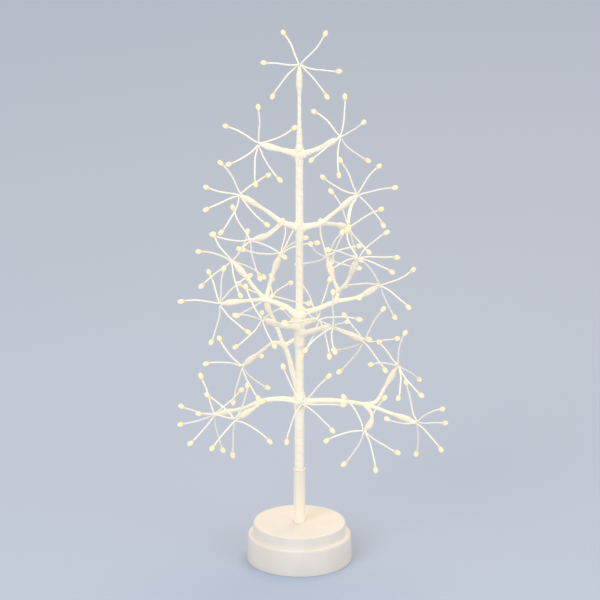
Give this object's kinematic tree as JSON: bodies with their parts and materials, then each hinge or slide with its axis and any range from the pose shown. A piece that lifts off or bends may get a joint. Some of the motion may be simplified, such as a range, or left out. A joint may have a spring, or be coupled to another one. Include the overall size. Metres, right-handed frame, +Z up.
{
  "type": "lighted twig tree",
  "caption": "Tabletop twig tree with taped wire limbs, sprays of teardrop micro lights and a stepped round battery base with a slide switch.",
  "frame": {"origin": "centre of the round base's underside, at the level of the rim that it stands on", "axes": "+Z up along the trunk; -Y towards the side seen in the picture; +X to the right seen from there"},
  "size_m": [0.2194, 0.145, 0.4531],
  "materials": {
    "base_plastic": "satin",
    "sleeve_plastic": "satin",
    "paper_tape": "matte",
    "light_wire": "satin",
    "light_bead": "gloss",
    "steel_rod": "satin",
    "screw_steel": "satin",
    "spring_metal": "polished",
    "battery_jacket": "satin",
    "circuit_board": "satin",
    "switch_plastic": "satin",
    "red_lead": "satin",
    "black_lead": "satin"
  },
  "bodies": {
    "base": {"base_housing": "base_plastic", "base_plate": "base_plastic", "battery_cell_1": "battery_jacket", "battery_cell_2": "battery_jacket", "battery_cell_3": "battery_jacket", "contact_negative": "spring_metal", "contact_bridge_rear": "spring_metal", "contact_bridge_front": "spring_metal", "contact_positive": "spring_metal", "plate_screw_1": "screw_steel", "plate_screw_2": "screw_steel", "plate_screw_3": "screw_steel", "timer_board": "circuit_board", "switch_body": "switch_plastic", "trunk_sleeve": "sleeve_plastic", "trunk_rod": "steel_rod", "trunk_binding": "paper_tape", "spray_crown": "light_wire", "light_lead": "light_wire", "battery_lead_red": "red_lead", "battery_lead_black": "black_lead"},
    "switch_slider": {"switch_knob": "switch_plastic"},
    "door": {"battery_door": "base_plastic"},
    "limb_4_left": {"limb_4_left": "paper_tape", "spray_4_left": "light_wire"},
    "limb_4_right": {"limb_4_right": "paper_tape", "spray_4_right": "light_wire"},
    "limb_3_left": {"limb_3_left": "paper_tape", "spray_3_left_high": "light_wire", "spray_3_left_low": "light_wire"},
    "limb_3_right": {"limb_3_right": "paper_tape", "spray_3_right_high": "light_wire", "spray_3_right_low": "light_wire"},
    "limb_2_left": {"limb_2_left": "paper_tape", "spray_2_left_out": "light_wire", "spray_2_left_high": "light_wire", "spray_2_left_inner": "light_wire"},
    "limb_2_right": {"limb_2_right": "paper_tape", "spray_2_right_out": "light_wire", "spray_2_right_inner": "light_wire", "spray_2_right_high": "light_wire"},
    "limb_2_front_left": {"limb_2_front_left": "paper_tape", "spray_2_front_left": "light_wire"},
    "limb_2_front": {"limb_2_front": "paper_tape", "spray_2_front": "light_wire"},
    "limb_2_front_right": {"limb_2_front_right": "paper_tape", "spray_2_front_right": "light_wire"},
    "limb_1_left": {"limb_1_left": "paper_tape", "spray_1_left_out": "light_wire", "spray_1_left_in": "light_wire"},
    "limb_1_right": {"limb_1_right": "paper_tape", "spray_1_right_out": "light_wire", "spray_1_right_high": "light_wire", "spray_1_right_low": "light_wire"},
    "limb_1_front": {"limb_1_front": "paper_tape", "spray_1_front": "light_wire"},
    "limb_1_back": {"limb_1_back": "paper_tape", "spray_1_back_left": "light_wire", "spray_1_back_right": "light_wire", "spray_1_back_high": "light_wire"}
  },
  "joints": [
    {"name": "switch_slide", "type": "slide", "parent": "base", "child": "switch_slider", "axis": [0, 1, 0], "range_m": [-0.002, 0.002]},
    {"name": "battery_door_hinge", "type": "hinge", "parent": "base", "child": "door", "pos_m": [0, -0.0292, 0.0016], "axis": [-1, 0, 0], "range_deg": [0, 60]},
    {"name": "limb_4_left_bend", "type": "hinge", "parent": "base", "child": "limb_4_left", "pos_m": [-0.0085, 0.00265, 0.34942], "axis": [0.2983, 0.9545, 0], "range_deg": [-10, 20]},
    {"name": "limb_4_right_bend", "type": "hinge", "parent": "base", "child": "limb_4_right", "pos_m": [0.00771, -0.00257, 0.35095], "axis": [-0.3162, -0.9487, 0], "range_deg": [-20, 20]},
    {"name": "limb_3_left_bend", "type": "hinge", "parent": "base", "child": "limb_3_left", "pos_m": [-0.0082, -0.00117, 0.28864], "axis": [-0.1414, 0.9899, 0], "range_deg": [-15, 12]},
    {"name": "limb_3_right_bend", "type": "hinge", "parent": "base", "child": "limb_3_right", "pos_m": [0.00872, 0.00159, 0.28671], "axis": [0.1789, -0.9839, 0], "range_deg": [-10, 20]},
    {"name": "limb_2_left_bend", "type": "hinge", "parent": "base", "child": "limb_2_left", "pos_m": [-0.00668, 0.00111, 0.21402], "axis": [0.1644, 0.9864, 0], "range_deg": [-20, 20]},
    {"name": "limb_2_right_bend", "type": "hinge", "parent": "base", "child": "limb_2_right", "pos_m": [0.00802, -0.00214, 0.21456], "axis": [-0.2577, -0.9662, 0], "range_deg": [-13, 4]},
    {"name": "limb_2_front_left_bend", "type": "hinge", "parent": "base", "child": "limb_2_front_left", "pos_m": [-0.0065, -0.00557, 0.20287], "axis": [-0.6508, 0.7593, 0], "range_deg": [-5, 20]},
    {"name": "limb_2_front_bend", "type": "hinge", "parent": "base", "child": "limb_2_front", "pos_m": [0.00855, -0.00055, 0.20585], "axis": [-0.0644, -0.9979, 0], "range_deg": [-20, 20]},
    {"name": "limb_2_front_right_bend", "type": "hinge", "parent": "base", "child": "limb_2_front_right", "pos_m": [0.00554, -0.00597, 0.19792], "axis": [-0.7328, -0.6805, 0], "range_deg": [-20, 20]},
    {"name": "limb_1_left_bend", "type": "hinge", "parent": "base", "child": "limb_1_left", "pos_m": [-0.00887, 0.00037, 0.13753], "axis": [0.0416, 0.9991, 0], "range_deg": [-20, 5]},
    {"name": "limb_1_right_bend", "type": "hinge", "parent": "base", "child": "limb_1_right", "pos_m": [0.00897, 0.00073, 0.13605], "axis": [0.0814, -0.9967, 0], "range_deg": [-20, 10]},
    {"name": "limb_1_front_bend", "type": "hinge", "parent": "base", "child": "limb_1_front", "pos_m": [0.00035, -0.00842, 0.13621], "axis": [-0.9991, -0.0416, 0], "range_deg": [-20, 20]},
    {"name": "limb_1_back_bend", "type": "hinge", "parent": "base", "child": "limb_1_back", "pos_m": [-0.00271, 0.00488, 0.15011], "axis": [0.8742, 0.4856, 0], "range_deg": [-9, 5]}
  ]
}
